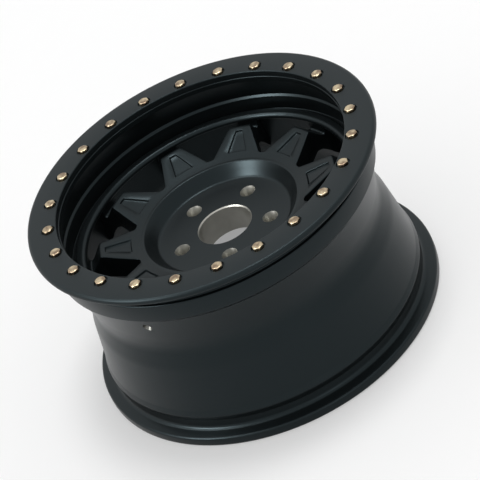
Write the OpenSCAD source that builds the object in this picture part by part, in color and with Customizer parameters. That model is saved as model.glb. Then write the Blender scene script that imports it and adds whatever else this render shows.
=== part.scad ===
// Beadlock wheel: a one-piece cast wheel whose outboard tyre bead is clamped by a bolted ring.
// The origin is the centre of the hub mounting face, and +Z points outboard along the axle.

/* [Rim] */
// Diameter of the inboard tyre bead seat
bead_seat_d = 436.6; // [434:0.2:440]
// Height of the inboard flange over the bead seat
flange_h = 17.2; // [14:0.2:20]
// Height of the safety hump over the bead seat
hump_h = 2.7; // [1.5:0.1:4]
// Depth of the drop centre below the bead seat
well_depth = 18.3; // [16:0.1:20]
// Wall of the barrel
barrel_wall = 7; // [5.5:0.5:8.5]
// Depth of the inboard rim edge below the hub mounting face
back_h = 122; // [116:1:130]
// Width of the inboard flange along the axle
flange_w = 15; // [13:0.5:18]
// Width of the inboard bead seat, from the flange to the top of the hump
seat_w = 22; // [20:0.5:25]
// Height of the drop centre's lower edge above the hub mounting face
well_h = 11; // [6:1:14]
// Width of the drop centre's narrow stretch
well_w = 16; // [12:1:20]

/* [Bead clamp] */
// Height of the clamping ring's front face above the hub mounting face
front_h = 132.5; // [128:0.5:138]
// Thickness of the clamping ring
ring_t = 8.5; // [7.5:0.5:10]
// Radial width of the clamping ring
ring_w = 40.5; // [39:0.5:42]
// Distance of the ring's outer edge in from the inboard flange's
ring_inset = 0; // [0:0.5:2]
// Radius of the rounded outer edge of the ring's face
ring_edge_r = 7; // [4:0.5:7]
// Depth of the bead slot's floor below the bead seat
land_depth = 3.8; // [2:0.1:5]
// Width of the slot that takes the tyre bead
bead_slot_w = 17; // [14:0.5:20]
// Height over the bead seat of the shoulder that backs the bead
shoulder_rise = 0.7; // [0:0.1:2.5]
// Width of the shoulder
shoulder_w = 25; // [22:0.5:28]

/* [Ring bolts] */
// Number of ring bolts
bolt_n = 24; // [16:1:24]
// Distance of the ring bolts in from the ring's outer edge
bolt_inset = 29.5; // [28.5:0.5:30.5]
// Shank diameter of a ring bolt
bolt_d = 7.94; // [6:0.02:8]
// Length of a ring bolt under its head
bolt_len = 25; // [20:0.5:26]
// Width across the flats of a bolt head
head_af = 12.7; // [12:0.1:14]
// Height of a bolt head
head_h = 5.2; // [4.5:0.1:6]
// Diameter of the shallow counterbore under a bolt head
cbore_d = 18; // [17:0.5:19]
// Depth of the counterbore
cbore_depth = 2.5; // [1.5:0.5:3.5]

/* [Dish] */
// Step from the ring's bore in to the lip of the bolting land
lip_step = 1; // [0.5:0.5:2]
// Depth of that lip
lip_h = 7; // [5:1:9]
// Width of the undercut behind the lip
undercut_w = 12; // [10:0.5:13]
// Height of the foot of that undercut
dish_h = 85.5; // [84:0.5:88]
// Size of the bevel between the undercut and the straight wall below it
bevel = 3; // [2:0.5:4]
// Width of the channel between the straight wall and the ledge
channel_w = 7; // [5:0.5:8]
// Depth of that channel below the ledge
channel_depth = 8; // [5:0.5:9]
// Width of the ledge around the spokes
ledge_w = 15; // [13:0.5:17]
// Height of the ledge
ledge_h = 70; // [68:0.5:72]
// Thickness of the ledge at its inner edge
ledge_t = 8; // [7:0.5:10]

/* [Spokes] */
// Number of spokes
spoke_n = 10; // [8:1:10]
// Distance from the ledge in to the knee, where the spokes turn down
knee_gap = 20; // [16:0.5:24]
// Height of the spoke faces at that knee
knee_h = 72; // [69:0.5:75]
// Height of the groove between the spoke ends and the ledge
groove_h = 46; // [43:1:50]
// Distance from the hub's raised rim out to the windows
window_gap = 12.5; // [10:0.5:16]
// Width of a spoke's outer stretch, from the knee on
spoke_tip_w = 30.15; // [26:0.05:34]
// Radius of a window's rounded hub-side corner
window_corner_r = 7; // [4:0.5:9]
// Height of the underside of the spokes near the hub
spoke_root_h = 22; // [20:0.5:27]
// Height of the underside of the spokes at the knee
spoke_under_h = 38; // [34:0.5:42]
// Width of a face pocket at its outer end
pocket_tip_w = 10; // [6:0.5:14]
// Width of a face pocket at its hub end
pocket_root_w = 27; // [20:0.5:32]
// Distance from a face pocket's outer end to the knee
pocket_tip_gap = 7; // [5:0.5:12]
// Distance from the windows' hub side out to a face pocket
pocket_root_gap = 3.5; // [1:0.5:8]
// Depth of the face pockets
pocket_depth = 2.5; // [1:0.25:4]

/* [Hub] */
// Diameter of the centre bore
bore_d = 71.5; // [66:0.1:78]
// Height of the wheel nut face above the mounting face
pad_h = 40; // [36:0.5:44]
// Diameter of the hub's raised rim
hub_rim_d = 210; // [206:1:214]
// Height of the hub's raised rim
hub_rim_h = 57.5; // [55:0.5:60]
// Width of the slope from the wheel nut face up to that rim
hub_slope_w = 14; // [11:0.5:17]
// Diameter of the mounting face
mount_d = 160; // [154:1:166]
// Number of wheel studs
lug_n = 5; // [4:1:6]
// Diameter of the stud circle
lug_pcd = 127; // [120:0.5:130]
// Diameter of a stud hole
lug_d = 15; // [13:0.1:16]
// Diameter of the 60 degree nut seat at the nut face
lug_seat_d = 21; // [19:0.5:24]
// Depth of the cast pockets in the mounting face
relief_depth = 20; // [12:1:24]
// Width of the cast pockets in the mounting face
relief_w = 26; // [20:1:30]

/* [Valve] */
// Diameter of the valve hole
valve_d = 11.5; // [11:0.1:12]
// Angle of the valve hole around the wheel
valve_angle = 274; // [266:1:274]
// Distance from the drop centre out to the valve hole's mouth
valve_out = 10; // [8:0.5:11]
// Distance of that mouth below the shoulder
valve_drop = 19; // [17:0.5:21]
// Slope of the valve hole from the axle
valve_tilt = 45; // [42:1:48]

/* [Hidden] */
$fn = 96;

// Fits and overlaps
thread_gap = 0.08;
bolt_hole_gap = 0.4;
spare_depth = 3;
valve_reach = 40;
wall_overlap = 2;
eps = 1;

// Small sizes of the casting's section
turned_r = 1.5;
cast_r = 5;
flank_r = 60;
flank_w = 8;
flank_h = 24;
step_w = 5;
hump_fall = 3;
hump_half_w = 8;
seat_fall = 1;
seat_flat_w = 9;
ledge_r = 4;
rim_edge_w = 9;

// Small sizes of the hub, the spokes and the bolts
rim_flat_w = 4;
boss_step = 8;
under_knee_out = 6;
bore_chamfer = 1.5;
bore_land = 9;
mount_land = 7;
seat_cone = 60;
head_chamfer = 0.8;

casting_colour = "#2b2f31";
ring_colour = "#3b4245";
bolt_colour = "#c9a85a";

// Diameters, each from its neighbour
flange_d = bead_seat_d + 2 * flange_h;
hump_d = bead_seat_d + 2 * hump_h;
well_d = bead_seat_d - 2 * well_depth;
well_in_r = well_d / 2 - barrel_wall;
shoulder_d = bead_seat_d + 2 * shoulder_rise;
land_d = bead_seat_d - 2 * land_depth;
ring_d = flange_d - 2 * ring_inset;
ring_bore_d = ring_d - 2 * ring_w;
bolt_pcd = ring_d - 2 * bolt_inset;
lip_bore_d = ring_bore_d - 2 * lip_step;
dish_d = lip_bore_d + 2 * undercut_w;
wall_r = dish_d / 2 - bevel;
channel_in_r = wall_r - channel_w;
ledge_d = 2 * (channel_in_r - ledge_w);
pad_d = hub_rim_d - 2 * hub_slope_w;
knee_r = ledge_d / 2 - knee_gap;
window_r = hub_rim_d / 2 + window_gap;
pocket_root_r = window_r + pocket_root_gap;
pocket_tip_r = knee_r - pocket_tip_gap;
valve_r = well_d / 2 + valve_out;
bore_r = bore_d / 2;

// Heights along the axle
clamp_h = front_h - ring_t;
shoulder_top = clamp_h - bead_slot_w;
shoulder_bottom = shoulder_top - shoulder_w;
valve_h = shoulder_bottom - valve_drop;
flange_top = flange_w - back_h;
hump_z = flange_top + seat_w;
lip_bottom = clamp_h - lip_h;
channel_h = ledge_h - channel_depth;
ledge_under_h = ledge_h - ledge_t;
ledge_mid_h = ledge_h - ledge_t / 2;
disc_foot_h = well_h - 2;
head_seat_h = front_h - cbore_depth;
tapped_depth = bolt_len - (ring_t - cbore_depth) + spare_depth;

face_r = hub_rim_d / 2 + rim_flat_w;
face_slope = atan2(knee_h - hub_rim_h, knee_r - face_r);

// Unit vector along v
function unit(v) = v / norm(v);

// A point reduced to its first two values
function flat(p) = [p[0], p[1]];

// The points of a corner b between a and c, rounded to a radius of rad
function corner(a, b, c, rad) =
    rad == 0 ? [b] :
    let (
        u = unit(a - b),
        v = unit(c - b),
        half = acos(u * v) / 2,
        centre = b + unit(u + v) * rad / sin(half),
        from = b + u * rad / tan(half) - centre,
        to = b + v * rad / tan(half) - centre,
        start = atan2(from[1], from[0]),
        turn = (atan2(to[1], to[0]) - start + 540) % 360 - 180,
        steps = max(2, ceil(abs(turn) / 18))
    )
    [for (k = [0:steps]) let (t = start + turn * k / steps) centre + rad * [cos(t), sin(t)]];

// An outline of [radius, height, corner radius] points with its corners rounded
function rounded(p) =
    let (n = len(p))
    [for (i = [0:n - 1]) each corner(flat(p[(i + n - 1) % n]), flat(p[i]), flat(p[(i + 1) % n]), p[i][2])];

// The barrel: bolting land, bead slot and shoulder outside, drop centre, hump, bead seat and flange
barrel_outline = [
    [lip_bore_d / 2, clamp_h, 1],
    [land_d / 2, clamp_h, 0.8],
    [land_d / 2, shoulder_top, turned_r],
    [shoulder_d / 2, shoulder_top, 2],
    [shoulder_d / 2, shoulder_bottom, 2],
    [shoulder_d / 2 - step_w, shoulder_bottom - step_w, 3],
    [well_d / 2, well_h + well_w, flank_r],
    [well_d / 2, well_h, flank_r / 2],
    [well_d / 2 + flank_w, well_h - flank_h, flank_r],
    [hump_d / 2 - hump_fall, hump_z + hump_half_w, 8],
    [hump_d / 2, hump_z, cast_r],
    [bead_seat_d / 2 - seat_fall, hump_z - seat_flat_w, 4],
    [bead_seat_d / 2, flange_top, 6],
    [flange_d / 2, flange_top - 2, 3],
    [flange_d / 2, -back_h, 3],
    [flange_d / 2 - rim_edge_w, -back_h, 2],
    [bead_seat_d / 2 + seat_fall - barrel_wall, flange_top + 2, 10],
    [hump_d / 2 - 2 * hump_fall - barrel_wall, hump_z + hump_half_w, 12],
    [well_in_r + flank_w, well_h - flank_h, flank_r],
    [well_in_r, well_h, flank_r / 2],
    [well_in_r, ledge_under_h - 3, cast_r],
    [ledge_d / 2, ledge_under_h, 2],
    [ledge_d / 2, ledge_h, ledge_r],
    [channel_in_r, ledge_h, ledge_r],
    [channel_in_r, channel_h, turned_r],
    [wall_r, channel_h, turned_r],
    [wall_r, dish_h - bevel, turned_r],
    [dish_d / 2, dish_h, turned_r],
    [lip_bore_d / 2, lip_bottom, 1]
];

// The disc that the windows are cut through: hub, sloping spoke face, knee and underside
disc_outline = [
    [bore_r - eps, pad_h, 0],
    [pad_d / 2, pad_h, 6],
    [hub_rim_d / 2, hub_rim_h, 3],
    [face_r, hub_rim_h, 4],
    [knee_r, knee_h, 3],
    [ledge_d / 2 + eps, groove_h, 3],
    [ledge_d / 2 + eps, ledge_mid_h, 0],
    [well_in_r + wall_overlap, ledge_mid_h, 0],
    [well_in_r + wall_overlap, disc_foot_h, 0],
    [well_in_r - eps, disc_foot_h, 4],
    [knee_r + under_knee_out, spoke_under_h, 16],
    [mount_d / 2 + boss_step, spoke_root_h, 8],
    [mount_d / 2, spoke_root_h - boss_step, 4],
    [mount_d / 2, 0, turned_r],
    [bore_r - eps, 0, 0]
];

// The ring: flat face, rounded outer edge and small chamfers elsewhere
ring_outline = [
    [ring_bore_d / 2, clamp_h, 0],
    [ring_bore_d / 2, front_h, turned_r],
    [ring_d / 2, front_h, ring_edge_r],
    [ring_d / 2, clamp_h, 1]
];

// Outline of one window: it opens away from the hub up to the knee, and then follows the spokes
module window() {
    spoke_side = 180 / spoke_n;
    along_spoke = [sin(spoke_side), cos(spoke_side)];
    across_spoke = [-cos(spoke_side), sin(spoke_side)];
    knee = knee_r * along_spoke + spoke_tip_w / 2 * across_spoke;
    end = knee + (flange_d / 2 - knee_r) * along_spoke;
    centre = [0, window_r + window_corner_r];
    reach = knee - centre;
    side = atan2(reach[0], reach[1]) - asin(window_corner_r / norm(reach));
    touch = centre + window_corner_r * [cos(side), -sin(side)];
    half = [touch, knee, end];
    translate(centre)
        circle(window_corner_r);
    polygon([each half, each [for (k = [2:-1:0]) [-half[k][0], half[k][1]]]]);
}

// The engraved pocket in one spoke face, laid along the slope of that face
module face_pocket() {
    from = (pocket_root_r - face_r) / cos(face_slope);
    to = (pocket_tip_r - face_r) / cos(face_slope);
    translate([0, face_r, hub_rim_h])
        rotate([face_slope, 0, 0])
            translate([0, 0, -pocket_depth])
                linear_extrude(pocket_depth + eps)
                    polygon([
                        [-pocket_root_w / 2, from],
                        [pocket_root_w / 2, from],
                        [pocket_tip_w / 2, to],
                        [-pocket_tip_w / 2, to]
                    ]);
}

// One stud hole with its conical nut seat
module lug_hole() {
    seat_depth = (lug_seat_d - lug_d) / 2 / tan(seat_cone / 2);
    translate([0, lug_pcd / 2, 0]) {
        translate([0, 0, -eps])
            cylinder(d = lug_d, h = pad_h + 2 * eps);
        translate([0, 0, pad_h - seat_depth])
            cylinder(d1 = lug_d, d2 = lug_seat_d, h = seat_depth);
        translate([0, 0, pad_h])
            cylinder(d = lug_seat_d, h = eps);
    }
}

// One cast pocket in the mounting face, between two studs
module relief() {
    inner = bore_r + bore_land;
    outer = mount_d / 2 - mount_land;
    translate([0, 0, -eps])
        linear_extrude(relief_depth + eps)
            intersection() {
                difference() {
                    circle(outer);
                    circle(inner);
                }
                translate([-relief_w / 2, 0])
                    square([relief_w, outer]);
            }
}

// The centre bore with its chamfers
module centre_bore() {
    mouth = bore_chamfer + eps;
    translate([0, 0, -eps])
        cylinder(d = bore_d, h = pad_h + 2 * eps);
    translate([0, 0, pad_h - bore_chamfer])
        cylinder(r1 = bore_r, r2 = bore_r + mouth, h = mouth);
    translate([0, 0, -eps])
        cylinder(r1 = bore_r + mouth, r2 = bore_r, h = mouth);
}

// The valve hole, drilled from the drop centre to the wall of the dish
module valve_hole() {
    rotate(valve_angle)
        translate([valve_r, 0, valve_h])
            rotate([0, -valve_tilt, 0])
                translate([0, 0, -valve_d])
                    cylinder(d = valve_d, h = valve_d + valve_reach);
}

module wheel() {
    color(casting_colour)
    difference() {
        union() {
            rotate_extrude()
                polygon(rounded(barrel_outline));
            difference() {
                rotate_extrude()
                    polygon(rounded(disc_outline));
                for (k = [0:spoke_n - 1])
                    rotate(360 / spoke_n * (k + 0.5) - 90)
                        translate([0, 0, -back_h])
                            linear_extrude(back_h + front_h)
                                window();
                for (k = [0:spoke_n - 1])
                    rotate(360 / spoke_n * k - 90)
                        face_pocket();
            }
        }
        centre_bore();
        for (k = [0:lug_n - 1])
            rotate(360 / lug_n * k)
                lug_hole();
        for (k = [0:lug_n - 1])
            rotate(360 / lug_n * (k + 0.5))
                relief();
        for (k = [0:bolt_n - 1])
            rotate(360 / bolt_n * (k + 0.5))
                translate([bolt_pcd / 2, 0, clamp_h - tapped_depth])
                    cylinder(d = bolt_d + 2 * thread_gap, h = tapped_depth + eps, $fn = 32);
        valve_hole();
    }
}

module clamp_ring() {
    color(ring_colour)
    difference() {
        rotate_extrude()
            polygon(rounded(ring_outline));
        for (k = [0:bolt_n - 1])
            rotate(360 / bolt_n * (k + 0.5))
                translate([bolt_pcd / 2, 0, 0]) {
                    translate([0, 0, clamp_h - eps])
                        cylinder(d = bolt_d + 2 * bolt_hole_gap, h = ring_t + 2 * eps, $fn = 32);
                    translate([0, 0, head_seat_h])
                        cylinder(d = cbore_d, h = cbore_depth + eps, $fn = 48);
                }
    }
}

// One hexagon bolt, its head seated in the ring's counterbore
module ring_bolt() {
    corner_r = head_af / 2 / cos(30);
    crown_r = corner_r - head_chamfer;
    translate([0, 0, head_seat_h - bolt_len])
        cylinder(d = bolt_d, h = bolt_len + eps, $fn = 32);
    translate([0, 0, head_seat_h])
        intersection() {
            cylinder(r = corner_r, h = head_h, $fn = 6);
            cylinder(r1 = crown_r + head_h, r2 = crown_r, h = head_h);
        }
}

module ring_bolts() {
    color(bolt_colour)
    for (k = [0:bolt_n - 1])
        rotate(360 / bolt_n * (k + 0.5))
            translate([bolt_pcd / 2, 0, 0])
                ring_bolt();
}

wheel();
clamp_ring();
ring_bolts();
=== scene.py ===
from math import acos, asin, atan2, cos, hypot, pi, radians, sin, sqrt, tan

import bpy
from mathutils import Matrix, Quaternion, Vector


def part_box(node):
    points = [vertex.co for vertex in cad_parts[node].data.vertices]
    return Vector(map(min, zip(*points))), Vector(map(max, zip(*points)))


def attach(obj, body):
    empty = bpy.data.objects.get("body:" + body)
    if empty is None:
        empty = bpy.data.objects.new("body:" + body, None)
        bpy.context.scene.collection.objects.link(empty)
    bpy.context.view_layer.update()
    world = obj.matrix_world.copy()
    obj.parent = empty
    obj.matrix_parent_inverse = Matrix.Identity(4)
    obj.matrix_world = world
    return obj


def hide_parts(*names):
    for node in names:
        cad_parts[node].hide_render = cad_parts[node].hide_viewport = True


bl_info = {
    "name": "Beadlock Wheel",
    "version": (1, 0, 0),
    "blender": (4, 5, 0),
    "location": "3D View > Sidebar > Beadlock Wheel",
    "description": "Models and finishes a cast wheel with a bolted bead clamping ring",
    "category": "Object",
}

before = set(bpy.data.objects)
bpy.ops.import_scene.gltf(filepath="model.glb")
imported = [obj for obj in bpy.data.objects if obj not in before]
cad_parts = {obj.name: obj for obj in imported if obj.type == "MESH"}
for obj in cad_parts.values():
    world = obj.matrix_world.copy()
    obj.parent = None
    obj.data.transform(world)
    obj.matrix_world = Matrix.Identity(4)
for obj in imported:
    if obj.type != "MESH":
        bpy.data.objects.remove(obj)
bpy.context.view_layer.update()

WHEEL_LOW, WHEEL_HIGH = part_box("wheel")
RING_LOW, RING_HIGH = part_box("clamp_ring")
BOLTS_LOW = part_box("ring_bolts")[0]

MM = 0.001
TURN = 2 * pi

# How far a cutter reaches past the faces that it cuts, and a piece into the one that it joins
PAST = 1 * MM
# How near to a place an edge or a face is taken to be at it
NEAR = 1 * MM
# Points of a mesh that are nearer than this become one
MERGE = 0.02 * MM
# The same for a mesh that has just been turned
TURNED_MERGE = 0.002 * MM
# Flat sides that a turned solid has around its axis
BARREL_SIDES = 160
RING_SIDES = 192
STUD_SIDES = 48
VALVE_SIDES = 48
TAP_SIDES = 24
COUNTERBORE_SIDES = 40
CROWN_SIDES = 48
SHANK_SIDES = 32
# Squares across a spoke in the grid that its sector is modelled from, which has nine columns of points
SQUARES = 8
# The column of points on a face pocket's side
POCKET_COLUMN = 6
# Sockets that a Mix node has for colours: its two inputs and its result
MIX_FIRST = 6
MIX_SECOND = 7
MIX_RESULT = 2
# Width of the camera's sensor in millimetres
SENSOR = 36
# Where each softbox stands, as its azimuth and elevation in degrees
SOFTBOXES = {"key": (-120, 37), "top": (-155, 60), "fill": (-30, 20), "back": (95, 80)}


def srgb(code):
    """The linear colour of an sRGB hex value such as "#2b2f31"."""
    levels = [int(code[i:i + 2], 16) / 255 for i in (1, 3, 5)]
    return tuple(v / 12.92 if v <= 0.04045 else ((v + 0.055) / 1.055) ** 2.4 for v in levels)


def length(name, description, default):
    """A size in metres with its name and description."""
    return bpy.props.FloatProperty(name=name, description=description, default=default, unit="LENGTH")


def degrees(name, description, default):
    """An angle, given in degrees, with its name and description."""
    return bpy.props.FloatProperty(
        name=name, description=description, default=radians(default), subtype="ANGLE")


def share(name, description, default):
    """A share from 0 to 1 with its name and description."""
    return bpy.props.FloatProperty(name=name, description=description, default=default, min=0, max=1)


def colour(name, description, code):
    """A colour with its name and description, from an sRGB hex value."""
    return bpy.props.FloatVectorProperty(
        name=name, description=description, default=srgb(code), subtype="COLOR", min=0, max=1)


def power(name, description, default):
    """A lamp's power in watts with its name and description."""
    return bpy.props.FloatProperty(
        name=name, description=description, default=default, min=0, unit="POWER")


class WheelRimSizes(bpy.types.PropertyGroup):
    """Sizes of the barrel, as radii and as heights above the hub mounting face"""

    seat_radius: length("Bead seat radius", "Radius of the inboard bead seat", 218.3 * MM)
    hump_radius: length("Hump radius", "Radius over the safety hump", 221 * MM)
    well_radius: length("Drop centre radius", "Radius of the drop centre", 200 * MM)
    wall: length("Wall", "Wall of the barrel", 7 * MM)
    flange_width: length("Flange width", "Width of the inboard flange", 15 * MM)
    seat_width: length("Seat width", "Width of the inboard bead seat", 22 * MM)
    well_height: length("Drop centre height", "Height of the drop centre's lower edge", 11 * MM)
    well_width: length("Drop centre width", "Width of the drop centre's narrow stretch", 16 * MM)
    land_radius: length("Land radius", "Radius of the land that the ring is bolted to", 214.5 * MM)
    slot_width: length("Bead slot width", "Width of the slot that takes the tyre bead", 17 * MM)
    shoulder_radius: length("Shoulder radius", "Radius of the shoulder behind the bead", 219 * MM)
    shoulder_width: length("Shoulder width", "Width of that shoulder", 25 * MM)
    lip_radius: length("Lip radius", "Radius inside the lip of the bolting land", 194 * MM)
    lip_height: length("Lip height", "Depth of that lip", 7 * MM)
    dish_radius: length("Dish radius", "Radius at the foot of the undercut behind the lip", 206 * MM)
    dish_height: length("Dish height", "Height of the foot of that undercut", 85.5 * MM)
    bevel: length("Bevel", "Bevel between the undercut and the straight wall below it", 3 * MM)
    channel_width: length("Channel width", "Width of the channel around the ledge", 7 * MM)
    channel_depth: length("Channel depth", "Depth of that channel", 8 * MM)
    ledge_radius: length("Ledge radius", "Radius inside the ledge around the spokes", 181 * MM)
    ledge_height: length("Ledge height", "Height of the ledge", 70 * MM)
    ledge_thickness: length("Ledge thickness", "Thickness of the ledge", 8 * MM)
    valve_radius: length("Valve hole radius", "Radius of the valve hole", 5.75 * MM)
    valve_height: length("Valve hole height", "Height of the valve hole's mouth", 63 * MM)
    valve_slant: degrees("Valve hole slant", "Angle between the valve hole and the axle", 45)
    valve_angle: degrees("Valve angle", "Place of the valve hole around the wheel", 274)


class WheelSpokeSizes(bpy.types.PropertyGroup):
    """Sizes of the spokes and of the windows between them"""

    count: bpy.props.IntProperty(name="Spokes", description="Number of spokes", default=10, min=8, max=10)
    knee_radius: length("Knee radius", "Radius at which a spoke turns down", 161 * MM)
    knee_height: length("Knee height", "Height of the spoke face there", 72 * MM)
    groove_height: length("Groove height", "Height of the groove behind the spoke ends", 46 * MM)
    window_radius: length("Window radius", "Radius of a window's hub side", 117.5 * MM)
    window_corner: length("Window corner", "Radius of a window's hub-side corner", 7 * MM)
    window_angle: degrees("Window angle", "Opening angle of a window", 77)
    root_height: length("Root height", "Height of the underside near the hub", 22 * MM)
    under_height: length("Underside height", "Height of the underside at the knee", 38 * MM)
    edge: length("Edge radius", "Rounding of the spoke edges", 1.6 * MM)
    pocket_tip_width: length("Pocket tip width", "Width of a face pocket at its tip", 10 * MM)
    pocket_root_width: length("Pocket root width", "Width of a face pocket at its root", 27 * MM)
    pocket_tip_radius: length("Pocket tip radius", "Radius at which a face pocket ends", 154 * MM)
    pocket_root_radius: length("Pocket root radius", "Radius at which a face pocket starts", 121 * MM)
    pocket_depth: length("Pocket depth", "Depth of the face pockets", 2.5 * MM)
    pocket_draft: length("Pocket draft", "Width of the slope at a face pocket's sides", 0.9 * MM)
    pocket_edge: length("Pocket edge radius", "Rounding of a face pocket's edges", 0.5 * MM)


class WheelHubSizes(bpy.types.PropertyGroup):
    """Sizes of the hub"""

    bore_radius: length("Bore radius", "Radius of the centre bore", 35.75 * MM)
    chamfer: length("Bore chamfer", "Chamfer at both ends of the bore", 1.5 * MM)
    pad_height: length("Nut face height", "Height of the wheel nut face", 40 * MM)
    pad_radius: length("Nut face radius", "Radius of the wheel nut face", 91 * MM)
    rim_radius: length("Hub rim radius", "Radius of the hub's raised rim", 105 * MM)
    rim_height: length("Hub rim height", "Height of the hub's raised rim", 57.5 * MM)
    rim_width: length("Hub rim width", "Width of the flat on that rim", 4 * MM)
    mount_radius: length("Mounting face radius", "Radius of the mounting face", 80 * MM)
    stud_count: bpy.props.IntProperty(name="Studs", description="Number of stud holes", default=5)
    stud_circle: length("Stud circle", "Radius of the stud circle", 63.5 * MM)
    stud_radius: length("Stud hole radius", "Radius of a stud hole", 7.5 * MM)
    nut_seat_radius: length("Nut seat radius", "Radius of the nut seat's mouth", 10.5 * MM)
    relief_depth: length("Relief depth", "Depth of the cast pockets in the back", 20 * MM)
    relief_width: length("Relief width", "Width of the cast pockets in the back", 26 * MM)
    relief_inner: length("Relief inner wall", "Metal between the bore and a cast pocket", 9 * MM)
    relief_outer: length("Relief outer wall", "Metal outside a cast pocket", 7 * MM)
    relief_edge: length("Relief edge radius", "Rounding of a cast pocket's edges", 3 * MM)
    relief_draft: share("Relief draft", "Size of a cast pocket's floor, as a share of its mouth", 0.9)


class WheelRingSizes(bpy.types.PropertyGroup):
    """Sizes of the clamping ring and its bolts"""

    bore_radius: length("Ring bore radius", "Radius inside the ring", 195 * MM)
    edge: length("Ring edge radius", "Radius of the ring's upper outer edge", 5 * MM)
    under_edge: length("Ring under-edge radius", "Radius of the ring's lower outer edge", 3 * MM)
    bolt_count: bpy.props.IntProperty(name="Ring bolts", description="Number of ring bolts", default=24)
    bolt_circle: length("Bolt circle", "Radius of the ring bolt circle", 206 * MM)
    bolt_radius: length("Bolt radius", "Radius of a bolt's shank", 3.97 * MM)
    hole_gap: length("Hole gap", "Gap between a shank and its hole in the ring", 0.4 * MM)
    head_flats: length("Across flats", "Width of a bolt head across its flats", 12.7 * MM)
    head_height: length("Head height", "Height of a bolt head", 5.2 * MM)
    counterbore_radius: length("Counterbore radius", "Radius of a counterbore", 9 * MM)
    counterbore_depth: length("Counterbore depth", "Depth of a counterbore", 2.5 * MM)
    tap_gap: length("Tapped hole gap", "Gap between a shank and its tapped hole", 0.08 * MM)
    tap_depth: length("Tapped hole depth", "Depth of a tapped hole", 22 * MM)


class WheelFinishes(bpy.types.PropertyGroup):
    """Colours and roughness of the finishes"""

    coat: colour("Powder coat", "Satin black powder coat of the casting", "#0f1213")
    coat_roughness: share("Powder coat roughness", "Mean roughness of the casting's coat", 0.31)
    ring_coat: colour("Ring coat", "Satin black powder coat of the ring", "#101314")
    ring_roughness: share("Ring coat roughness", "Mean roughness of the ring's coat", 0.4)
    bare: colour("Bare metal", "Machined aluminium of the bore and seats", "#acaba4")
    # The valve hole's metal is darker than the bare metal as painted shade inside the hole
    drilled: colour("Drilled metal", "Dull aluminium of the drilled valve hole", "#747470")
    zinc: colour("Zinc plate", "Straw tint of the bolts' yellow zinc plate", "#bfb093")
    zinc_rose: colour("Zinc plate, rose", "Rose tint that the same plate drifts to", "#806e5c")
    floor: colour("Floor", "Pale studio floor", "#f4f4f4")


class WheelStudio(bpy.types.PropertyGroup):
    """The camera and the lights"""

    distance: length("Camera distance", "Distance of the camera from its aim", 3.0256)
    aim: bpy.props.FloatVectorProperty(
        name="Camera aim", description="Point that the camera looks at",
        default=(0.0060, 0.0061, 0.0072), subtype="TRANSLATION")
    azimuth: degrees("Camera azimuth", "Direction of the camera around the axle", -44.199)
    elevation: degrees("Camera elevation", "Height of the camera as an angle", 35.426)
    roll: degrees("Camera roll", "Turn of the camera about its own line of sight", -26.49)
    lens: bpy.props.FloatProperty(
        name="Lens", description="Focal length on a 36 mm sensor", default=176.33, unit="CAMERA")
    floor_size: length("Floor size", "Side of the square floor", 40)
    floor_glow: share("Floor glow", "Share of plain white in the floor that is seen", 0.3)
    air: bpy.props.FloatProperty(
        name="Room light", description="Strength of the light in the room", default=0.72, min=0)
    lamp_distance: length("Softbox distance", "Distance of the softboxes from the hub", 6.0)
    lamp_size: length("Softbox size", "Side of the square softboxes", 1.8)
    key_power: power("Key softbox", "Power of the main softbox, on the left of the camera", 290)
    top_power: power("Top softbox", "Power of the softbox above the far left", 110)
    back_power: power("Back softbox", "Power of the softbox overhead, which throws the shadow", 140)
    fill_power: power("Fill softbox", "Power of the low softbox on the right of the camera", 20)


def direction(azimuth, elevation):
    """The unit vector towards an azimuth and an elevation."""
    return Vector((cos(elevation) * cos(azimuth), cos(elevation) * sin(azimuth), sin(elevation)))


def deselect_all():
    """Nothing is selected, and no object is active."""
    bpy.ops.object.select_all(action="DESELECT")
    bpy.context.view_layer.objects.active = None


def activate(obj):
    """Only obj is selected, and it is the active object."""
    deselect_all()
    obj.select_set(True)
    bpy.context.view_layer.objects.active = obj


def select_faces(obj, test):
    """In edit mode, selects the faces of obj that pass the test."""
    bpy.ops.mesh.select_all(action="DESELECT")
    bpy.ops.mesh.select_mode(type="FACE")
    bpy.ops.object.mode_set(mode="OBJECT")
    for face in obj.data.polygons:
        face.select = bool(test(face))
    bpy.ops.object.mode_set(mode="EDIT")


def apply_modifier(obj, kind, **settings):
    """Adds a modifier with its settings to obj and applies it."""
    activate(obj)
    modifier = obj.modifiers.new(kind.title(), kind)
    for name, value in settings.items():
        setattr(modifier, name, value)
    bpy.ops.object.modifier_apply(modifier=modifier.name)


def place_in_mesh(obj):
    """Moves the place, turn and scale of obj into its mesh."""
    activate(obj)
    bpy.ops.object.transform_apply(location=True, rotation=True, scale=True)


def rounded(corners):
    """The points of a closed outline of (radius, height, corner radius) with its corners rounded."""
    arc_step = radians(12)
    points = []
    for i, (x, y, fillet) in enumerate(corners):
        here = Vector((x, y))
        if fillet == 0:
            points.append(here)
            continue
        back = (Vector(corners[i - 1][:2]) - here).normalized()
        onward = (Vector(corners[(i + 1) % len(corners)][:2]) - here).normalized()
        half = acos(max(-1, min(1, back.dot(onward)))) / 2
        centre = here + (back + onward).normalized() * fillet / sin(half)
        first = here + back * fillet / tan(half) - centre
        last = here + onward * fillet / tan(half) - centre
        start = atan2(first.y, first.x)
        turn = (atan2(last.y, last.x) - start + 3 * pi) % TURN - pi
        steps = max(2, round(abs(turn) / arc_step))
        for k in range(steps + 1):
            angle = start + turn * k / steps
            points.append(centre + fillet * Vector((cos(angle), sin(angle))))
    return points


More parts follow.
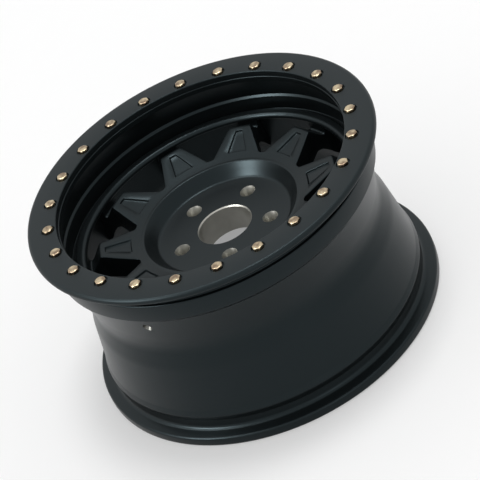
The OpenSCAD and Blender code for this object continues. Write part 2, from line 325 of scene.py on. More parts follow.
def turned(name, outline, sides):
    """A solid turned on a lathe: a circle is shaped to the outline and spun about the Z axis."""
    deselect_all()
    bpy.ops.mesh.primitive_circle_add(vertices=len(outline), radius=1)
    obj = bpy.context.object
    obj.name = name
    for vertex, point in zip(obj.data.vertices, outline):
        vertex.co = (point[0], 0, point[1])
    bpy.ops.object.mode_set(mode="EDIT")
    bpy.ops.mesh.select_all(action="SELECT")
    bpy.ops.mesh.spin(steps=sides, angle=TURN, center=(0, 0, 0), axis=(0, 0, 1), use_auto_merge=True)
    bpy.ops.mesh.select_all(action="SELECT")
    bpy.ops.mesh.remove_doubles(threshold=TURNED_MERGE)
    bpy.ops.mesh.normals_make_consistent(inside=False)
    bpy.ops.object.mode_set(mode="OBJECT")
    return obj


def clear_slivers(obj):
    """Takes out the slivers, up to 0.02 mm wide, that the cuts leave in the faces."""
    activate(obj)
    bpy.ops.object.mode_set(mode="EDIT")
    bpy.ops.mesh.select_all(action="SELECT")
    bpy.ops.mesh.remove_doubles(threshold=MERGE)
    bpy.ops.mesh.dissolve_degenerate(threshold=MERGE)
    bpy.ops.object.mode_set(mode="OBJECT")


def smooth(obj, crisp=32):
    """Smooth shading, with edges that turn by more than crisp degrees left crisp."""
    activate(obj)
    bpy.ops.object.shade_smooth_by_angle(angle=radians(crisp))


def join(name, pieces):
    """One object made of several."""
    activate(pieces[0])
    for piece in pieces[1:]:
        piece.select_set(True)
    if len(pieces) > 1:
        bpy.ops.object.join()
    pieces[0].name = name
    return pieces[0]


def copies_around(obj, count, first):
    """Copies of obj turned about the axle, each with its own mesh; obj itself is the first."""
    made = []
    for k in range(count):
        copy = obj if k == 0 else obj.copy()
        if k:
            copy.data = obj.data.copy()
            bpy.context.scene.collection.objects.link(copy)
        made.append(copy)
    for k, copy in enumerate(made):
        copy.matrix_world = Matrix.Rotation(first + TURN * k / count, 4, "Z") @ copy.matrix_world
        place_in_mesh(copy)
    return made


def combine(obj, operation, other):
    """Adds other to obj, cuts it out or keeps what both share; faces from other keep its material."""
    apply_modifier(
        obj, "BOOLEAN", operation=operation, object=other, solver="EXACT", material_mode="TRANSFER")
    bpy.data.objects.remove(other)


def at_each_bolt(name, obj, ring):
    """One object made of copies of obj at the places of all the ring bolts."""
    obj.location.x = ring.bolt_circle
    place_in_mesh(obj)
    return join(name, copies_around(obj, ring.bolt_count, pi / ring.bolt_count))


def finish_piece(obj, slot, *nodes):
    """The piece rides on the wheel's one body and stands for its nodes, which it hides. The slot is not
    used.
    """
    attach(obj, "root")
    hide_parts(*nodes)


def add_node(material, kind, settings=None, inputs=None, links=None):
    """Adds a shader node with its settings, its input values and the sockets that feed it."""
    node = material.node_tree.nodes.new(kind)
    for name, value in (settings or {}).items():
        setattr(node, name, value)
    for name, value in (inputs or {}).items():
        node.inputs[name].default_value = value
    for name, source in (links or {}).items():
        material.node_tree.links.new(source, node.inputs[name])
    return node


def new_material(name):
    """A new material and its Principled shader."""
    material = bpy.data.materials.new(name)
    material.use_nodes = True
    return material, material.node_tree.nodes["Principled BSDF"]


def link(material, source, target):
    """Links one socket to another."""
    material.node_tree.links.new(source, target)


def seen_white(material):
    """A socket that is 1 for what the camera sees, directly, in a reflection or through glass."""
    path = add_node(material, "ShaderNodeLightPath")
    seen = add_node(
        material, "ShaderNodeMath", {"operation": "MAXIMUM"},
        links={0: path.outputs["Is Camera Ray"], 1: path.outputs["Is Glossy Ray"]})
    seen = add_node(
        material, "ShaderNodeMath", {"operation": "MAXIMUM"},
        links={0: seen.outputs["Value"], 1: path.outputs["Is Transmission Ray"]})
    return seen.outputs["Value"]


def shade(base, factor=1):
    """A colour made darker or lighter by a factor, as the four values that a socket takes."""
    return (*[v * factor for v in base], 1)


def noise_scale(size):
    """The Scale at which a noise pattern has features of a size."""
    return 1 / size


def wave_scale(spacing):
    """The Scale at which a wave pattern, which has 20 radians to a unit, has bands at a spacing."""
    return TURN / 20 / spacing


def powder_coat(name, base, roughness):
    """Satin powder coat, sprayed dry and baked: a fine orange peel of 1.1 mm breaks the sheen.

    Its tone and its gloss drift a little in clouds of 71 mm.
    """
    material, shader = new_material(name)
    place = add_node(material, "ShaderNodeTexCoord").outputs["Object"]
    cloud = add_node(
        material, "ShaderNodeTexNoise", inputs={"Scale": noise_scale(71.4 * MM), "Detail": 3},
        links={"Vector": place})
    tone = add_node(
        material, "ShaderNodeMix", {"data_type": "RGBA"},
        {MIX_FIRST: shade(base, 0.9), MIX_SECOND: shade(base, 1.12)}, {"Factor": cloud.outputs["Fac"]})
    peel = add_node(
        material, "ShaderNodeTexNoise", inputs={"Scale": noise_scale(1.11 * MM), "Detail": 2},
        links={"Vector": place})
    bump = add_node(
        material, "ShaderNodeBump", inputs={"Strength": 0.12, "Distance": 0.1 * MM},
        links={"Height": peel.outputs["Fac"]})
    sheen = add_node(
        material, "ShaderNodeMapRange", inputs={"To Min": roughness - 0.04, "To Max": roughness + 0.05},
        links={"Value": cloud.outputs["Fac"]})
    link(material, tone.outputs[MIX_RESULT], shader.inputs["Base Color"])
    link(material, bump.outputs["Normal"], shader.inputs["Normal"])
    link(material, sheen.outputs["Result"], shader.inputs["Roughness"])
    shader.inputs["Specular IOR Level"].default_value = 0.23
    shader.inputs["Specular Tint"].default_value = shade(srgb("#d9f6ff"))
    return material


def machined_aluminium(name, base):
    """Bare cast aluminium cut on a lathe: fine feed marks, 0.6 mm apart, run around the bore.

    Duller patches of about 17 mm vary its tone.
    """
    material, shader = new_material(name)
    place = add_node(material, "ShaderNodeTexCoord").outputs["Object"]
    marks = add_node(
        material, "ShaderNodeTexWave", {"bands_direction": "Z"},
        {"Scale": wave_scale(0.604 * MM), "Distortion": 0.4}, {"Vector": place})
    cloud = add_node(
        material, "ShaderNodeTexNoise", inputs={"Scale": noise_scale(16.7 * MM), "Detail": 4},
        links={"Vector": place})
    tone = add_node(
        material, "ShaderNodeMix", {"data_type": "RGBA"},
        {MIX_FIRST: shade(base, 0.75), MIX_SECOND: shade(base)}, {"Factor": cloud.outputs["Fac"]})
    bump = add_node(
        material, "ShaderNodeBump", inputs={"Strength": 0.25, "Distance": 0.05 * MM},
        links={"Height": marks.outputs["Fac"]})
    link(material, tone.outputs[MIX_RESULT], shader.inputs["Base Color"])
    link(material, bump.outputs["Normal"], shader.inputs["Normal"])
    shader.inputs["Metallic"].default_value = 1
    shader.inputs["Roughness"].default_value = 0.42
    return material


def yellow_zinc(name, base, rose):
    """Zinc plate with a yellow chromate: a thin film whose tint drifts from straw to rose in 9 mm."""
    material, shader = new_material(name)
    place = add_node(material, "ShaderNodeTexCoord").outputs["Object"]
    drift = add_node(
        material, "ShaderNodeTexNoise", inputs={"Scale": noise_scale(9.09 * MM), "Detail": 3},
        links={"Vector": place})
    patches = add_node(
        material, "ShaderNodeMapRange", inputs={"From Min": 0.38, "From Max": 0.62},
        links={"Value": drift.outputs["Fac"]})
    tone = add_node(
        material, "ShaderNodeMix", {"data_type": "RGBA"},
        {MIX_FIRST: shade(base), MIX_SECOND: shade(rose)}, {"Factor": patches.outputs["Result"]})
    link(material, tone.outputs[MIX_RESULT], shader.inputs["Base Color"])
    shader.inputs["Metallic"].default_value = 1
    shader.inputs["Roughness"].default_value = 0.34
    return material


def studio_paper(name, base, glow):
    """Matt backdrop paper with faint clouds of 30 mm; where it is seen, a share of it is plain white."""
    material, shader = new_material(name)
    place = add_node(material, "ShaderNodeTexCoord").outputs["Object"]
    cloud = add_node(
        material, "ShaderNodeTexNoise", inputs={"Scale": noise_scale(30.3 * MM), "Detail": 2},
        links={"Vector": place})
    tone = add_node(
        material, "ShaderNodeMix", {"data_type": "RGBA"},
        {MIX_FIRST: shade(base, 0.99), MIX_SECOND: shade(base)}, {"Factor": cloud.outputs["Fac"]})
    glowing = add_node(
        material, "ShaderNodeMath", {"operation": "MULTIPLY"}, {1: glow}, {0: seen_white(material)})
    white = add_node(material, "ShaderNodeEmission", inputs={"Color": (1, 1, 1, 1), "Strength": 1})
    mixed = add_node(
        material, "ShaderNodeMixShader",
        links={0: glowing.outputs["Value"], 1: shader.outputs["BSDF"], 2: white.outputs["Emission"]})
    link(material, tone.outputs[MIX_RESULT], shader.inputs["Base Color"])
    link(material, mixed.outputs["Shader"], material.node_tree.nodes["Material Output"].inputs["Surface"])
    shader.inputs["Roughness"].default_value = 0.9
    return material


def barrel_outline(rim):
    """The barrel's section, from the bolting land outside down to the flange and back up inside."""
    clamp = WHEEL_HIGH.z
    floor = WHEEL_LOW.z
    flange = WHEEL_HIGH.x
    slot_floor = clamp - rim.slot_width
    shoulder_low = slot_floor - rim.shoulder_width
    flange_top = floor + rim.flange_width
    flange_slope = 2 * MM
    rest_width = 9 * MM
    hump = flange_top + rim.seat_width
    hump_flank = hump + 8 * MM
    flank_drop = 3 * MM
    seat_top = hump - 9 * MM
    seat_slope = 1 * MM
    taper_width = 8 * MM
    taper_foot = rim.well_height - 24 * MM
    inner = rim.well_radius - rim.wall
    ledge_under = rim.ledge_height - rim.ledge_thickness
    ledge_gusset = 3 * MM
    channel_floor = rim.ledge_height - rim.channel_depth
    wall = rim.dish_radius - rim.bevel
    shoulder_bevel = 5 * MM
    return rounded([
        (rim.lip_radius, clamp, 1 * MM),
        (rim.land_radius, clamp, 0.8 * MM),
        (rim.land_radius, slot_floor, 1.5 * MM),
        (rim.shoulder_radius, slot_floor, 2 * MM),
        (rim.shoulder_radius, shoulder_low, 2 * MM),
        (rim.shoulder_radius - shoulder_bevel, shoulder_low - shoulder_bevel, 3 * MM),
        (rim.well_radius, rim.well_height + rim.well_width, 60 * MM),
        (rim.well_radius, rim.well_height, 30 * MM),
        (rim.well_radius + taper_width, taper_foot, 60 * MM),
        (rim.hump_radius - flank_drop, hump_flank, 8 * MM),
        (rim.hump_radius, hump, 5 * MM),
        (rim.seat_radius - seat_slope, seat_top, 4 * MM),
        (rim.seat_radius, flange_top, 6 * MM),
        (flange, flange_top - flange_slope, 3 * MM),
        (flange, floor, 3 * MM),
        (flange - rest_width, floor, 2 * MM),
        (rim.seat_radius + seat_slope - rim.wall, flange_top + flange_slope, 10 * MM),
        (rim.hump_radius - 2 * flank_drop - rim.wall, hump_flank, 12 * MM),
        (inner + taper_width, taper_foot, 60 * MM),
        (inner, rim.well_height, 30 * MM),
        (inner, ledge_under - ledge_gusset, 5 * MM),
        (rim.ledge_radius, ledge_under, 1.5 * MM),
        (rim.ledge_radius, rim.ledge_height, 6 * MM),
        (wall - rim.channel_width, rim.ledge_height, 4 * MM),
        (wall - rim.channel_width, channel_floor, 1.5 * MM),
        (wall, channel_floor, 1.5 * MM),
        (wall, rim.dish_height - rim.bevel, 1.5 * MM),
        (rim.dish_radius, rim.dish_height, 1.5 * MM),
        (rim.lip_radius, clamp - rim.lip_height, 1 * MM),
    ])


def matched(first, second):
    """Two open outlines with as many points each: the shorter one is split in its longest stretches."""
    lists = [list(first), list(second)]
    while len(lists[0]) != len(lists[1]):
        short = min(lists, key=len)
        gaps = [(short[i + 1] - short[i]).length for i in range(len(short) - 1)]
        at = gaps.index(max(gaps))
        short.insert(at + 1, (short[at] + short[at + 1]) / 2)
    return lists


def height_at(outline, radius):
    """The height of an open outline at a radius."""
    for a, b in zip(outline[:-1], outline[1:]):
        if a.x <= radius <= b.x and b.x > a.x:
            return a.y + (b.y - a.y) * (radius - a.x) / (b.x - a.x)
    return outline[-1].y


def spoke_half_angle(spoke, radius):
    """Half the angle that a spoke, or the hub's share of it, takes up at a radius."""
    sector = pi / spoke.count
    if radius <= spoke.window_radius:
        return sector
    side = spoke.window_angle / 2
    centre = spoke.window_radius + spoke.window_corner
    # A window's rounded corner ends at touch, and from there its side runs straight to the knee
    touch = Vector((spoke.window_corner * cos(side), centre - spoke.window_corner * sin(side)))
    along = Vector((sin(side), cos(side)))
    spoke_axis = Vector((sin(sector), cos(sector)))
    knee = touch + (spoke.knee_radius - touch.dot(spoke_axis)) / along.dot(spoke_axis) * along
    if radius <= touch.length:
        turn = (radius ** 2 + centre ** 2 - spoke.window_corner ** 2) / (2 * radius * centre)
        return sector - acos(min(1, turn))
    if radius <= knee.length:
        run = -touch.dot(along) + sqrt(touch.dot(along) ** 2 - touch.length_squared + radius ** 2)
        edge = touch + run * along
        return sector - atan2(edge.x, edge.y)
    # Past the knee a spoke keeps the width that it has there
    half_width = abs(knee.x * spoke_axis.y - knee.y * spoke_axis.x)
    return asin(half_width / radius)


def spider_rows(rim, spoke, hub):
    """Pairs of (radius, height) for the top and the underside, from the bore out to the barrel."""
    face_start = hub.rim_radius + hub.rim_width
    groove = rim.ledge_radius + PAST
    ledge_middle = rim.ledge_height - rim.ledge_thickness / 2
    inner = rim.well_radius - rim.wall
    end = inner + 2 * PAST
    pad_slope = 8 * MM
    under_knee = spoke.knee_radius + 6 * MM
    foot = rim.well_height - 2 * MM
    top = rounded([
        (hub.bore_radius, hub.pad_height - hub.chamfer, 0),
        (hub.bore_radius + hub.chamfer, hub.pad_height, 0),
        (hub.pad_radius, hub.pad_height, 6 * MM),
        (hub.rim_radius, hub.rim_height, 3 * MM),
        (face_start, hub.rim_height, 4 * MM),
        (spoke.knee_radius, spoke.knee_height, 3 * MM),
        (groove, spoke.groove_height, 3 * MM),
        (groove, ledge_middle, 0),
        (end, ledge_middle, 0),
    ])
    under = rounded([
        (hub.bore_radius, hub.chamfer, 0),
        (hub.bore_radius + hub.chamfer, 0, 0),
        (hub.mount_radius, 0, 1.5 * MM),
        (hub.mount_radius, spoke.root_height - pad_slope, 4 * MM),
        (hub.mount_radius + pad_slope, spoke.root_height, 8 * MM),
        (under_knee, spoke.under_height, 16 * MM),
        (inner - PAST, foot, 4 * MM),
        (end, foot, 0),
    ])
    edge = spoke.window_radius
    hub_top = [p for p in top if p.x < edge] + [Vector((edge, height_at(top, edge)))]
    hub_under = [p for p in under if p.x < edge] + [Vector((edge, height_at(under, edge)))]
    rows = list(zip(*matched(hub_top, hub_under)))
    # The grid's rows lie close together where a window's corner and the knee turn
    knee = spoke.knee_radius
    radii = [edge + spoke.window_corner * part for part in (0.04, 0.12, 0.24, 0.4)]
    radii += [spoke.pocket_root_radius]
    radii += [edge + step * MM for step in (8, 14, 20, 28)]
    radii += [spoke.pocket_tip_radius]
    radii += [knee + step * MM for step in (-3, -1.2, 0, 1.2, 3, 9, 15)]
    radii += [rim.ledge_radius - 1.5 * MM]
    rows += [(Vector((r, height_at(top, r))), Vector((r, height_at(under, r)))) for r in radii]
    # Where the top goes up the wall of the ledge, the underside goes on outwards in equal steps
    wall = [p for p in top if p.x > radii[-1] + NEAR / 2]
    for k, p in enumerate(wall):
        reach = radii[-1] + (top[-1].x - radii[-1]) * (k + 1) / len(wall)
        rows.append((p, Vector((reach, height_at(under, reach)))))
    return rows


def column_angles(spoke, radius):
    """Angles of the grid's nine columns at a radius: the face pocket's sides lie on two of them."""
    low, high = spoke.pocket_root_radius, spoke.pocket_tip_radius
    edge = spoke_half_angle(spoke, radius)
    held = max(low, min(high, radius))
    along = (held - low) / (high - low)
    width = spoke.pocket_root_width + (spoke.pocket_tip_width - spoke.pocket_root_width) * along
    near = max(0, min(1, (low - radius) / (low - spoke.window_radius)))
    pocket = asin(width / 2 / held) * (1 - near) + edge / 2 * near
    half = [0, pocket / 2, pocket, (pocket + edge) / 2, edge]
    return [-a for a in reversed(half[1:])] + half


def grid_point(spoke, point, column):
    """Where a column of the grid meets a point of the section."""
    angle = column_angles(spoke, point.x)[column]
    return Vector((point.x * cos(angle), point.x * sin(angle), point.y))


def polar(spoke, co):
    """Radius of a point, and its angle from the middle of the nearest spoke."""
    sector = TURN / spoke.count
    angle = (atan2(co.y, co.x) + sector / 2) % sector - sector / 2
    return hypot(co.x, co.y), abs(angle)


def model_spider(rim, spoke, hub):
    """Hub and spokes: a grid is laid on one sector's face, extruded to its underside and repeated."""
    rows = spider_rows(rim, spoke, hub)
    across = SQUARES + 1
    drop = Vector((0, 0, -1))
    same_angle = 1e-5
    deselect_all()
    bpy.ops.mesh.primitive_grid_add(x_subdivisions=SQUARES, y_subdivisions=len(rows) - 1, size=1)
    sector = bpy.context.object
    sector.name = "spider"
    for index, vertex in enumerate(sector.data.vertices):
        vertex.co = grid_point(spoke, rows[index // across][0], index % across)
    bpy.ops.object.mode_set(mode="EDIT")
    bpy.ops.mesh.select_all(action="SELECT")
    bpy.ops.mesh.extrude_region_move(TRANSFORM_OT_translate={"value": drop})
    bpy.ops.object.mode_set(mode="OBJECT")
    # Extruding gives the new points in no set order, so each is looked for under its old one
    lowered = [v for v in sector.data.vertices if v.co.z < drop.z / 2]
    for over, under in rows:
        for column in range(across):
            start = grid_point(spoke, over, column) + drop
            vertex = min(lowered, key=lambda v: (v.co - start).length_squared)
            vertex.co = grid_point(spoke, under, column)
            lowered.remove(vertex)
    activate(sector)
    bpy.ops.object.mode_set(mode="EDIT")
    seam = pi / spoke.count
    select_faces(sector, lambda face: all(
        abs(polar(spoke, sector.data.vertices[i].co)[1] - seam) < same_angle for i in face.vertices))
    bpy.ops.mesh.delete(type="FACE")
    bpy.ops.object.mode_set(mode="OBJECT")

    spider = join("spider", copies_around(sector, spoke.count, 0))
    bpy.ops.object.mode_set(mode="EDIT")
    bpy.ops.mesh.select_all(action="SELECT")
    bpy.ops.mesh.remove_doubles(threshold=MERGE)
    bpy.ops.mesh.normals_make_consistent(inside=False)
    bpy.ops.object.mode_set(mode="OBJECT")
    return spider


def round_edges(obj, test, sharp, offset, segments=3):
    """Rounds the edges whose ends pass the test and whose faces turn by more than sharp degrees."""
    activate(obj)
    bpy.ops.object.mode_set(mode="EDIT")
    bpy.ops.mesh.select_mode(type="EDGE")
    bpy.ops.mesh.select_all(action="DESELECT")
    bpy.ops.mesh.edges_select_sharp(sharpness=radians(sharp))
    bpy.ops.object.mode_set(mode="OBJECT")
    vertices = obj.data.vertices
    for edge in obj.data.edges:
        edge.select = edge.select and all(test(vertices[i].co) for i in edge.vertices)
    bpy.ops.object.mode_set(mode="EDIT")
    bpy.ops.mesh.bevel(offset=offset, segments=segments, profile=0.5, clamp_overlap=True)
    bpy.ops.object.mode_set(mode="OBJECT")


def press_pockets(obj, spoke):
    """Presses the shallow pockets into the spoke faces: inset with a draft, then lowered."""
    activate(obj)
    bpy.ops.object.mode_set(mode="EDIT")
    low, high = spoke.pocket_root_radius, spoke.pocket_tip_radius

    def in_pocket(face):
        radius, angle = polar(spoke, face.center)
        return (face.normal.z > 0.5 and low < radius < high and face.center.z > spoke.under_height
                and angle < column_angles(spoke, radius)[POCKET_COLUMN])

    select_faces(obj, in_pocket)
    bpy.ops.mesh.inset(thickness=spoke.pocket_draft, depth=-spoke.pocket_depth, use_even_offset=True)
    bpy.ops.object.mode_set(mode="OBJECT")

    slack = 1.1

    def at_pocket(co):
        radius, angle = polar(spoke, co)
        side = column_angles(spoke, radius)[POCKET_COLUMN] * slack
        return (low - NEAR < radius < high + NEAR and angle < side
                and co.z > spoke.under_height + spoke.pocket_depth)

    round_edges(obj, at_pocket, sharp=30, offset=spoke.pocket_edge, segments=2)


def drill(name, outline, sides, material):
    """A turned cutter in the finish that its cut leaves."""
    cutter = turned(name, outline, sides)
    cutter.data.materials.append(material)
    return cutter


def nut_seat_cutters(hub, material):
    """Cutters for the stud holes with their nut seats, which are cones of 60 degrees."""
    slope = tan(radians(60 / 2))
    depth = (hub.nut_seat_radius - hub.stud_radius) / slope
    outline = [
        Vector((0, -PAST)),
        Vector((hub.stud_radius, -PAST)),
        Vector((hub.stud_radius, hub.pad_height - depth)),
        Vector((hub.nut_seat_radius, hub.pad_height)),
        Vector((hub.nut_seat_radius + PAST * slope, hub.pad_height + PAST)),
        Vector((0, hub.pad_height + PAST)),
    ]
    cutter = drill("stud_cutter", outline, STUD_SIDES, material)
    cutter.location.y = hub.stud_circle
    place_in_mesh(cutter)
    return join("stud_cutters", copies_around(cutter, hub.stud_count, 0))


def relief_cutters(hub, material):
    """Cutters for the cast pockets between the studs in the mounting face."""
    inner = hub.bore_radius + hub.relief_inner
    outer = hub.mount_radius - hub.relief_outer
    deselect_all()
    bpy.ops.mesh.primitive_grid_add(x_subdivisions=8, y_subdivisions=1, size=1)
    cutter = bpy.context.object
    for vertex in cutter.data.vertices:
        x = vertex.co.x * hub.relief_width
        radius = inner if vertex.co.y < 0 else outer
        vertex.co = (x, sqrt(radius ** 2 - x ** 2), -PAST)
    activate(cutter)
    bpy.ops.object.mode_set(mode="EDIT")
    bpy.ops.mesh.select_all(action="SELECT")
    bpy.ops.mesh.extrude_region_move(TRANSFORM_OT_translate={"value": (0, 0, hub.relief_depth + PAST)})
    bpy.ops.transform.resize(
        value=(hub.relief_draft, hub.relief_draft, 1), center_override=(0, (inner + outer) / 2, 0))
    bpy.ops.mesh.select_all(action="SELECT")
    bpy.ops.mesh.normals_make_consistent(inside=False)
    bpy.ops.object.mode_set(mode="OBJECT")
    round_edges(cutter, lambda co: True, sharp=40, offset=hub.relief_edge)
    cutter.data.materials.append(material)
    return join("relief_cutters", copies_around(cutter, hub.stud_count, pi / hub.stud_count))


def valve_cutter(rim, material):
    """Cutter for the valve hole, drilled on a slant from the drop centre to the dish wall."""
    mouth = rim.well_radius + 10 * MM
    reach = 40 * MM
    start = -rim.valve_radius * 2
    outline = [
        Vector((0, start)), Vector((rim.valve_radius, start)),
        Vector((rim.valve_radius, reach)), Vector((0, reach)),
    ]
    cutter = drill("valve_cutter", outline, VALVE_SIDES, material)
    cutter.rotation_euler.y = -rim.valve_slant
    cutter.location = (mouth, 0, rim.valve_height)
    place_in_mesh(cutter)
    cutter.rotation_euler.z = rim.valve_angle
    place_in_mesh(cutter)
    return cutter


def tapped_cutters(ring, material):
    """Cutters for the tapped holes under the ring, as plain holes."""
    radius = ring.bolt_radius + ring.tap_gap
    top = WHEEL_HIGH.z + PAST
    bottom = WHEEL_HIGH.z - ring.tap_depth
    outline = [Vector((0, bottom)), Vector((radius, bottom)), Vector((radius, top)), Vector((0, top))]
    return at_each_bolt("tap_cutters", drill("tap_cutter", outline, TAP_SIDES, material), ring)


def counterbore_cutters(ring, material):
    """Cutters for the holes in the ring, with their counterbores, whose mouths are chamfered."""
    low, high = RING_LOW.z, RING_HIGH.z
    hole = ring.bolt_radius + ring.hole_gap
    seat = high - ring.counterbore_depth
    chamfer = 0.5 * MM
    cutter = drill("counterbore_cutter", [
        Vector((0, low - PAST)),
        Vector((hole, low - PAST)),
        Vector((hole, seat)),
        Vector((ring.counterbore_radius, seat)),
        Vector((ring.counterbore_radius, high - chamfer)),
        Vector((ring.counterbore_radius + 2 * chamfer, high + chamfer)),
        Vector((0, high + chamfer)),
    ], COUNTERBORE_SIDES, material)
    return at_each_bolt("counterbore_cutters", cutter, ring)


def bolt_head(ring, seat):
    """A hexagon head on its seat: its corners are turned down to a crown, and its edges are broken."""
    top = seat + ring.head_height
    corner = ring.head_flats / 2 / cos(pi / 6)
    crown_foot = top - 2.1 * MM
    crown_edge = top - 0.35 * MM
    deselect_all()
    bpy.ops.mesh.primitive_cylinder_add(
        vertices=6, radius=corner, depth=ring.head_height, location=(0, 0, (seat + top) / 2))
    head = bpy.context.object
    head.rotation_euler.z = pi / 6
    place_in_mesh(head)
    crown = turned("crown", [
        Vector((0, seat - PAST)),
        Vector((corner + 2 * PAST, seat - PAST)),
        Vector((corner + 2 * PAST, crown_foot)),
        Vector((corner - 1 * MM, crown_edge)),
        Vector((corner - 1.6 * MM, top)),
        Vector((0, top)),
    ], CROWN_SIDES)
    combine(head, "INTERSECT", crown)
    round_edges(head, lambda co: True, sharp=20, offset=0.18 * MM, segments=2)
    return head


def bolt_shank(ring, seat):
    """A bolt's shank with a chamfered end, as a plain cylinder that reaches into the head."""
    low = BOLTS_LOW.z
    chamfer = 0.8 * MM
    return turned("shank", [
        Vector((0, low)),
        Vector((ring.bolt_radius - chamfer, low)),
        Vector((ring.bolt_radius, low + chamfer)),
        Vector((ring.bolt_radius, seat + PAST)),
        Vector((0, seat + PAST)),
    ], SHANK_SIDES)


class WHEEL_OT_casting(bpy.types.Operator):
    """Model the one-piece casting: barrel, dish, spokes and hub"""

    bl_idname = "wheel.casting"
    bl_label = "Casting"

    def execute(self, context):
        scene = context.scene
        rim, spoke, hub, ring = scene.wheel_rim, scene.wheel_spokes, scene.wheel_hub, scene.wheel_ring
        finish = scene.wheel_finishes
        coat = powder_coat("satin_black_powder_coat", finish.coat, finish.coat_roughness)
        bare = machined_aluminium("machined_aluminium", finish.bare)
        # The valve hole's wall gets a darkened metal colour, which is painted shade
        drilled = machined_aluminium("valve_hole_painted_shade_aluminium", finish.drilled)

        spider = model_spider(rim, spoke, hub)
        window_low = spoke.window_radius - NEAR
        window_high = rim.ledge_radius + 2 * NEAR
        round_edges(
            spider, lambda co: window_low < hypot(co.x, co.y) < window_high, sharp=50, offset=spoke.edge)
        press_pockets(spider, spoke)
        spider.data.materials.append(coat)
        spider.data.materials.append(bare)
        for face in spider.data.polygons:
            out = hypot(face.center.x, face.center.y)
            in_bore = out < hub.bore_radius + hub.chamfer
            on_mount = out < hub.mount_radius and face.normal.z < -0.99 and face.center.z < NEAR
            face.material_index = 1 if in_bore or on_mount else 0
        combine(spider, "DIFFERENCE", nut_seat_cutters(hub, bare))
        combine(spider, "DIFFERENCE", relief_cutters(hub, coat))

        casting = turned("wheel_casting", barrel_outline(rim), BARREL_SIDES)
        casting.data.materials.append(coat)
        casting.data.materials.append(bare)
        combine(casting, "UNION", spider)
        combine(casting, "DIFFERENCE", valve_cutter(rim, drilled))
        combine(casting, "DIFFERENCE", tapped_cutters(ring, bare))
        clear_slivers(casting)
        smooth(casting)
        finish_piece(casting, "casting", "wheel")
        return {"FINISHED"}


class WHEEL_OT_ring(bpy.types.Operator):
    """Model the clamping ring with its counterbored holes"""

    bl_idname = "wheel.ring"
    bl_label = "Clamping Ring"

    def execute(self, context):
        scene = context.scene
        ring = scene.wheel_ring
        finish = scene.wheel_finishes
        coat = powder_coat("ring_powder_coat", finish.ring_coat, finish.ring_roughness)
        low, high, outer = RING_LOW.z, RING_HIGH.z, RING_HIGH.x
        inner_edge = 1.5 * MM
        body = turned("clamping_ring", rounded([
            (ring.bore_radius, low, 0),
            (ring.bore_radius, high, inner_edge),
            (outer, high, ring.edge),
            (outer, low, ring.under_edge),
        ]), RING_SIDES)
        body.data.materials.append(coat)
        combine(body, "DIFFERENCE", counterbore_cutters(ring, coat))
        clear_slivers(body)
        smooth(body)
        finish_piece(body, "ring", "clamp_ring")
        return {"FINISHED"}


class WHEEL_OT_bolts(bpy.types.Operator):
    """Model one hexagon bolt and set its copies around the ring"""

    bl_idname = "wheel.bolts"
    bl_label = "Ring Bolts"

    def execute(self, context):
        scene = context.scene
        ring = scene.wheel_ring
        finish = scene.wheel_finishes
        zinc = yellow_zinc("yellow_zinc_plate", finish.zinc, finish.zinc_rose)
        seat = RING_HIGH.z - ring.counterbore_depth
        bolt = bolt_head(ring, seat)
        combine(bolt, "UNION", bolt_shank(ring, seat))
        bolt.data.materials.clear()
        bolt.data.materials.append(zinc)
        bolts = at_each_bolt("ring_bolts_finished", bolt, ring)
        smooth(bolts, crisp=25)
        finish_piece(bolts, "bolts", "ring_bolts")
        return {"FINISHED"}


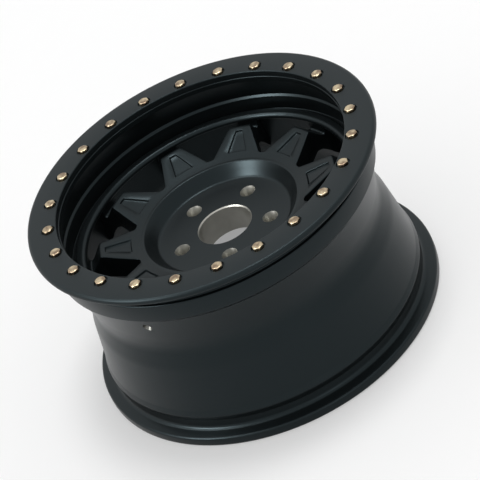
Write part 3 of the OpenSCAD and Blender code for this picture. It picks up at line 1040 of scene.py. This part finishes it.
class WHEEL_OT_stage(bpy.types.Operator):
    """Set the pale floor, the soft lights and the camera"""

    bl_idname = "wheel.stage"
    bl_label = "Stage"

    def air(self, scene, studio):
        """The room is dim, and what the camera sees past the floor is white."""
        world = bpy.data.worlds.new("studio_air")
        world.use_nodes = True
        background = world.node_tree.nodes["Background"]
        background.inputs["Color"].default_value = (1, 1, 1, 1)
        level = add_node(
            world, "ShaderNodeMapRange", inputs={"To Min": studio.air, "To Max": 1},
            links={"Value": seen_white(world)})
        link(world, level.outputs["Result"], background.inputs["Strength"])
        scene.world = world

    def lamp(self, name, watts, studio, matt=False):
        """A square softbox that faces the wheel; unless it lights matt surfaces, only sheen shows it."""
        azimuth, elevation = map(radians, SOFTBOXES[name])
        place = direction(azimuth, elevation) * studio.lamp_distance
        bpy.ops.object.light_add(type="AREA", location=place)
        softbox = bpy.context.object
        softbox.name = name + "_softbox"
        softbox.rotation_euler = (-place).to_track_quat("-Z", "Y").to_euler()
        softbox.data.energy = watts
        softbox.data.size = studio.lamp_size
        softbox.visible_diffuse = matt

    def execute(self, context):
        scene = context.scene
        studio = scene.wheel_studio
        deselect_all()
        bpy.ops.mesh.primitive_plane_add(size=studio.floor_size, location=(0, 0, WHEEL_LOW.z))
        floor = context.object
        floor.name = "studio_floor"
        place_in_mesh(floor)
        paper = studio_paper("studio_paper", scene.wheel_finishes.floor, studio.floor_glow)
        floor.data.materials.append(paper)

        self.air(scene, studio)
        self.lamp("key", studio.key_power, studio)
        self.lamp("top", studio.top_power, studio)
        self.lamp("fill", studio.fill_power, studio)
        self.lamp("back", studio.back_power, studio, matt=True)

        sight = direction(studio.azimuth, studio.elevation)
        bpy.ops.object.camera_add(location=Vector(studio.aim) + sight * studio.distance)
        camera = context.object
        camera.rotation_mode = "QUATERNION"
        camera.rotation_quaternion = (
            (-sight).to_track_quat("-Z", "Y") @ Quaternion((0, 0, 1), studio.roll))
        camera.data.lens = studio.lens
        camera.data.sensor_width = SENSOR
        scene.camera = camera
        scene.view_settings.view_transform = "Standard"
        return {"FINISHED"}


GROUPS = {
    "wheel_rim": WheelRimSizes,
    "wheel_spokes": WheelSpokeSizes,
    "wheel_hub": WheelHubSizes,
    "wheel_ring": WheelRingSizes,
    "wheel_finishes": WheelFinishes,
    "wheel_studio": WheelStudio,
}
OPERATORS = (WHEEL_OT_casting, WHEEL_OT_ring, WHEEL_OT_bolts, WHEEL_OT_stage)


class WHEEL_PT_sidebar(bpy.types.Panel):
    """A button for each piece, and the sizes, finishes and lights behind them"""

    bl_idname = "WHEEL_PT_sidebar"
    bl_label = "Beadlock Wheel"
    bl_space_type = "VIEW_3D"
    bl_region_type = "UI"
    bl_category = "Beadlock Wheel"

    def draw(self, context):
        for operator in OPERATORS:
            self.layout.operator(operator.bl_idname)
        for name, group in GROUPS.items():
            box = self.layout.box()
            box.label(text=group.__doc__)
            for key in group.__annotations__:
                box.prop(getattr(context.scene, name), key)


CLASSES = (*GROUPS.values(), *OPERATORS, WHEEL_PT_sidebar)


def register():
    """Adds the classes, and a pointer to each group of settings to the scene."""
    for cls in CLASSES:
        bpy.utils.register_class(cls)
    for name, group in GROUPS.items():
        setattr(bpy.types.Scene, name, bpy.props.PointerProperty(type=group))


def unregister():
    """Takes them away again."""
    for name in GROUPS:
        delattr(bpy.types.Scene, name)
    for cls in reversed(CLASSES):
        bpy.utils.unregister_class(cls)


def main():
    """Makes every piece and the stage."""
    register()
    bpy.ops.wheel.casting()
    bpy.ops.wheel.ring()
    bpy.ops.wheel.bolts()
    bpy.ops.wheel.stage()


if __name__ == "__main__":
    main()
